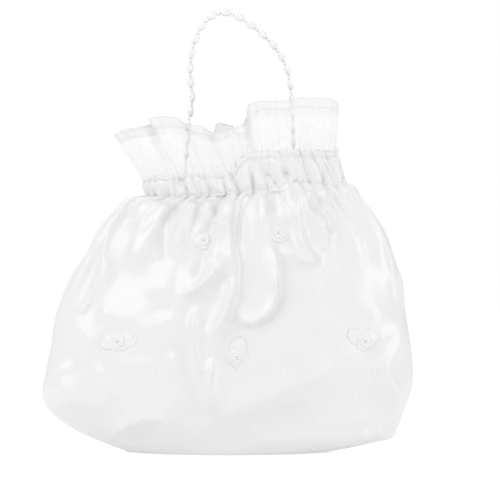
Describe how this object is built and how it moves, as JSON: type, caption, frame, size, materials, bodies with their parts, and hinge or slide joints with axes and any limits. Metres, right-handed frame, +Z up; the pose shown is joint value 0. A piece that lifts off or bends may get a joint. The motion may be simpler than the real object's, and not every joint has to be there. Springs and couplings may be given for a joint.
{
  "type": "satin pouch bag",
  "caption": "White satin flower girl pouch bag with an elasticated neck, a sheer organza frill, ribbon rosettes and a beaded arch handle.",
  "frame": {"origin": "middle of the bag's footprint, on the surface that it stands on", "axes": "+Z up towards the handle's crown, -Y out of the front, +X to the right of someone looking at the front"},
  "size_m": [0.2224, 0.1016, 0.2679],
  "materials": {
    "satin": "smooth bridal satin with a soft sheen",
    "lining": "plain woven lining",
    "organza": "sheer crisp organza",
    "elastic": "braided elastic",
    "ribbon": "narrow satin ribbon",
    "board": "grey board",
    "pearl_bead": "pearl lustre",
    "thread_and_seed": "clear wire with small pearl seed beads"
  },
  "bodies": {
    "bag": {"satin_front_panel": "satin", "satin_back_panel": "satin", "lining_pouch": "lining", "base_panel": "satin", "base_board": "board", "thread_left_leg": "thread_and_seed", "thread_right_leg": "thread_and_seed", "handle_tab_left": "ribbon", "handle_tab_right": "ribbon", "left_leg_bead_1": "pearl_bead", "left_leg_bead_2": "pearl_bead", "left_leg_bead_3": "pearl_bead", "right_leg_bead_1": "pearl_bead", "right_leg_bead_2": "pearl_bead", "right_leg_bead_3": "pearl_bead", "right_leg_bead_4": "pearl_bead", "front_leaf_1": "ribbon", "front_leaf_2": "ribbon", "front_leaf_3": "ribbon", "front_leaf_4": "ribbon", "front_leaf_5": "ribbon", "back_leaf_1": "ribbon", "back_leaf_2": "ribbon", "back_leaf_3": "ribbon", "back_leaf_4": "ribbon", "back_leaf_5": "ribbon", "front_rose_1": "ribbon", "front_rose_2": "ribbon", "front_rose_3": "ribbon", "front_rose_4": "ribbon", "front_rose_5": "ribbon", "back_rose_1": "ribbon", "back_rose_2": "ribbon", "back_rose_3": "ribbon", "back_rose_4": "ribbon", "back_rose_5": "ribbon"},
    "mouth_front": {"casing_front": "satin", "elastic_front": "elastic", "frill_front": "organza"},
    "mouth_back": {"casing_back": "satin", "elastic_back": "elastic", "frill_back": "organza"},
    "handle": {"thread_arch": "thread_and_seed", "arch_bead_01": "pearl_bead", "arch_bead_02": "pearl_bead", "arch_bead_03": "pearl_bead", "arch_bead_04": "pearl_bead", "arch_bead_05": "pearl_bead", "arch_bead_06": "pearl_bead", "arch_bead_07": "pearl_bead", "arch_bead_08": "pearl_bead", "arch_bead_09": "pearl_bead", "arch_bead_10": "pearl_bead", "arch_bead_11": "pearl_bead", "arch_bead_12": "pearl_bead", "arch_bead_13": "pearl_bead", "arch_bead_14": "pearl_bead", "arch_bead_15": "pearl_bead", "arch_bead_16": "pearl_bead"}
  },
  "joints": [
    {"name": "mouth_front_open", "type": "hinge", "parent": "bag", "child": "mouth_front", "pos_m": [0.0095, -0.0242, 0.1563], "axis": [0.9982, 0, 0.0599], "range_deg": [0, 18], "stiffness_Nm_per_rad": 0.05},
    {"name": "mouth_back_open", "type": "hinge", "parent": "bag", "child": "mouth_back", "pos_m": [0.0095, 0.0242, 0.1563], "axis": [-0.9982, 0, -0.0599], "range_deg": [0, 18], "stiffness_Nm_per_rad": 0.05},
    {"name": "handle_swing", "type": "hinge", "parent": "bag", "child": "handle", "pos_m": [-0.024, 0, 0.201], "axis": [0.9681, 0, 0.2506], "range_deg": [-80, 80]}
  ],
  "couplings": [
    {"joint": "mouth_back_open", "follows": "mouth_front_open", "ratio": 1}
  ]
}
